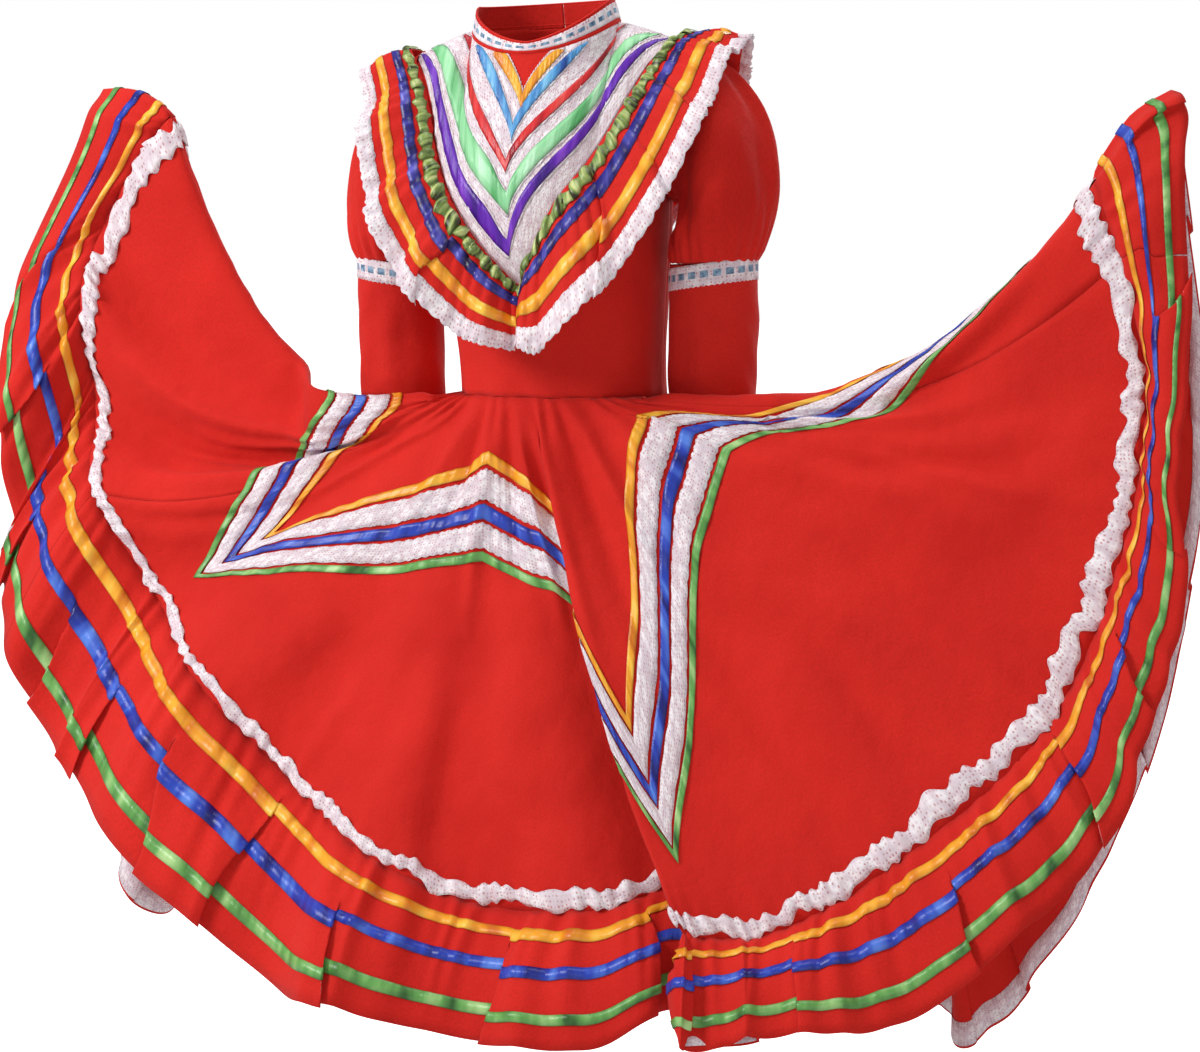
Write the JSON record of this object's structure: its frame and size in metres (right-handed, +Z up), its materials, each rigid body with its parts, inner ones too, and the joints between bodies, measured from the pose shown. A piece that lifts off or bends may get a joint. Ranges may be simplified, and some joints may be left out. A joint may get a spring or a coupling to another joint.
{
  "type": "folklorico dress",
  "caption": "Red Jalisco folklorico dress, worn and hollow, with a ribbon-and-lace star on a full circle skirt held out at both sides and a gathered flounce at its hem.",
  "frame": {"origin": "where the wearer holds the dress: midway between the shoulders, at the base of the neck", "axes": "+X to the wearer's left, along the spread skirt; -Y to the front; +Z up"},
  "size_m": [1.4994, 0.7825, 1.2463],
  "materials": {
    "red_cloth": "matt woven poplin",
    "white_lace": "matt woven lace with a small pattern",
    "yellow_satin": "satin ribbon",
    "blue_satin": "satin ribbon",
    "green_satin": "satin ribbon",
    "purple_satin": "satin ribbon",
    "sky_satin": "satin ribbon",
    "mint_satin": "satin ribbon",
    "red_satin": "satin ribbon"
  },
  "bodies": {
    "root": {"bodice_front": "red_cloth", "bodice_back_left": "red_cloth", "bodice_back_right": "red_cloth", "collar": "red_cloth", "ruffle": "red_cloth", "puff_left": "red_cloth", "puff_right": "red_cloth", "sleeve_left": "red_cloth", "sleeve_right": "red_cloth", "skirt_front": "red_cloth", "skirt_back_left": "red_cloth", "skirt_back_right": "red_cloth", "flounce_front": "red_cloth", "flounce_back_left": "red_cloth", "flounce_back_right": "red_cloth", "yoke_front": "white_lace", "yoke_back_left": "white_lace", "yoke_back_right": "white_lace", "collar_lace": "white_lace", "ruffle_lace": "white_lace", "sleeve_lace_left": "white_lace", "sleeve_lace_right": "white_lace", "star_lace_inner": "white_lace", "star_lace_outer": "white_lace", "flounce_head_lace": "white_lace", "yoke_ribbon_yellow": "yellow_satin", "star_ribbon_yellow": "yellow_satin", "star_ribbon_blue": "blue_satin", "star_ribbon_green": "green_satin", "yoke_ribbon_purple": "purple_satin", "yoke_ribbon_sky": "sky_satin", "yoke_ribbon_mint": "mint_satin", "yoke_ribbon_red": "red_satin"}
  },
  "joints": []
}
